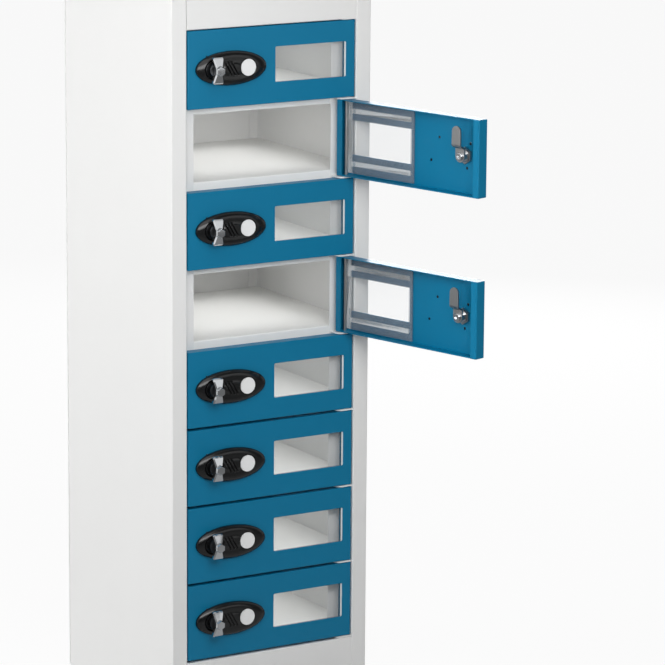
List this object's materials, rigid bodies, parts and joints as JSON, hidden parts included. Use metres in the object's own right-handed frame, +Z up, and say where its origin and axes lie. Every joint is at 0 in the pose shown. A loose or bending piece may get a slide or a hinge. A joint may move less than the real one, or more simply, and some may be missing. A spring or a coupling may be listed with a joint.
{
  "type": "tablet locker",
  "caption": "Tall narrow steel locker for tablets: a column of shut and open doors, each with a clear window and a turn-knob cam lock, in a light grey cabinet.",
  "frame": {"origin": "middle of the base, on the floor", "axes": "+Z up, the doors face -Y, +Y towards the wall, +X towards the hinge side"},
  "size_m": [0.3625, 0.5389, 1],
  "materials": {
    "cabinet_paint": "satin powder coat, light grey",
    "door_paint": "satin powder coat, blue",
    "clear_plastic": "clear polycarbonate",
    "black_plastic": "glossy moulding",
    "white_plastic": "matt",
    "chrome": "bright plated die casting",
    "steel": "zinc plated"
  },
  "bodies": {
    "cabinet": {"side_left": "cabinet_paint", "side_right": "cabinet_paint", "back_panel": "cabinet_paint", "top_panel": "cabinet_paint", "base_panel": "cabinet_paint", "top_fascia": "cabinet_paint", "kick_plate": "cabinet_paint", "shelves": "cabinet_paint", "hinge_lugs": "cabinet_paint", "hinge_rod": "steel", "hinge_washers": "white_plastic"},
    "door_1": {"door_1": "door_paint", "pane_1": "clear_plastic", "lock_plate_1": "black_plastic", "barrel_1": "steel"},
    "lock_1": {"knob_1": "chrome", "cam_1": "steel"},
    "door_2": {"door_2": "door_paint", "pane_2": "clear_plastic", "lock_plate_2": "black_plastic", "barrel_2": "steel"},
    "lock_2": {"knob_2": "chrome", "cam_2": "steel"},
    "door_3": {"door_3": "door_paint", "pane_3": "clear_plastic", "lock_plate_3": "black_plastic", "barrel_3": "steel"},
    "lock_3": {"knob_3": "chrome", "cam_3": "steel"},
    "door_4": {"door_4": "door_paint", "pane_4": "clear_plastic", "lock_plate_4": "black_plastic", "barrel_4": "steel"},
    "lock_4": {"knob_4": "chrome", "cam_4": "steel"},
    "door_5": {"door_5": "door_paint", "pane_5": "clear_plastic", "lock_plate_5": "black_plastic", "barrel_5": "steel"},
    "lock_5": {"knob_5": "chrome", "cam_5": "steel"},
    "door_6": {"door_6": "door_paint", "pane_6": "clear_plastic", "lock_plate_6": "black_plastic", "barrel_6": "steel"},
    "lock_6": {"knob_6": "chrome", "cam_6": "steel"},
    "door_7": {"door_7": "door_paint", "pane_7": "clear_plastic", "lock_plate_7": "black_plastic", "barrel_7": "steel"},
    "lock_7": {"knob_7": "chrome", "cam_7": "steel"},
    "door_8": {"door_8": "door_paint", "pane_8": "clear_plastic", "lock_plate_8": "black_plastic", "barrel_8": "steel"},
    "lock_8": {"knob_8": "chrome", "cam_8": "steel"}
  },
  "joints": [
    {"name": "door_hinge_1", "type": "hinge", "parent": "cabinet", "child": "door_1", "pos_m": [0.119, -0.146, 0.88625], "axis": [0, 0, 1], "range_deg": [0, 112]},
    {"name": "lock_turn_1", "type": "hinge", "parent": "door_1", "child": "lock_1", "pos_m": [-0.0925, -0.1525, 0.88625], "axis": [0, -1, 0], "range_deg": [0, 90]},
    {"name": "door_hinge_2", "type": "hinge", "parent": "cabinet", "child": "door_2", "pos_m": [0.119, -0.146, 0.77875], "axis": [0, 0, 1], "range_deg": [-105.5, 6.5]},
    {"name": "lock_turn_2", "type": "hinge", "parent": "door_2", "child": "lock_2", "pos_m": [0.18179, -0.34807, 0.77875], "axis": [0.9636, 0.2672, 0], "range_deg": [0, 90]},
    {"name": "door_hinge_3", "type": "hinge", "parent": "cabinet", "child": "door_3", "pos_m": [0.119, -0.146, 0.67125], "axis": [0, 0, 1], "range_deg": [0, 112]},
    {"name": "lock_turn_3", "type": "hinge", "parent": "door_3", "child": "lock_3", "pos_m": [-0.0925, -0.1525, 0.67125], "axis": [0, -1, 0], "range_deg": [0, 90]},
    {"name": "door_hinge_4", "type": "hinge", "parent": "cabinet", "child": "door_4", "pos_m": [0.119, -0.146, 0.56375], "axis": [0, 0, 1], "range_deg": [-105.5, 6.5]},
    {"name": "lock_turn_4", "type": "hinge", "parent": "door_4", "child": "lock_4", "pos_m": [0.18179, -0.34807, 0.56375], "axis": [0.9636, 0.2672, 0], "range_deg": [0, 90]},
    {"name": "door_hinge_5", "type": "hinge", "parent": "cabinet", "child": "door_5", "pos_m": [0.119, -0.146, 0.45625], "axis": [0, 0, 1], "range_deg": [0, 112]},
    {"name": "lock_turn_5", "type": "hinge", "parent": "door_5", "child": "lock_5", "pos_m": [-0.0925, -0.1525, 0.45625], "axis": [0, -1, 0], "range_deg": [0, 90]},
    {"name": "door_hinge_6", "type": "hinge", "parent": "cabinet", "child": "door_6", "pos_m": [0.119, -0.146, 0.34875], "axis": [0, 0, 1], "range_deg": [0, 112]},
    {"name": "lock_turn_6", "type": "hinge", "parent": "door_6", "child": "lock_6", "pos_m": [-0.0925, -0.1525, 0.34875], "axis": [0, -1, 0], "range_deg": [0, 90]},
    {"name": "door_hinge_7", "type": "hinge", "parent": "cabinet", "child": "door_7", "pos_m": [0.119, -0.146, 0.24125], "axis": [0, 0, 1], "range_deg": [0, 112]},
    {"name": "lock_turn_7", "type": "hinge", "parent": "door_7", "child": "lock_7", "pos_m": [-0.0925, -0.1525, 0.24125], "axis": [0, -1, 0], "range_deg": [0, 90]},
    {"name": "door_hinge_8", "type": "hinge", "parent": "cabinet", "child": "door_8", "pos_m": [0.119, -0.146, 0.13375], "axis": [0, 0, 1], "range_deg": [0, 112]},
    {"name": "lock_turn_8", "type": "hinge", "parent": "door_8", "child": "lock_8", "pos_m": [-0.0925, -0.1525, 0.13375], "axis": [0, -1, 0], "range_deg": [0, 90]}
  ]
}
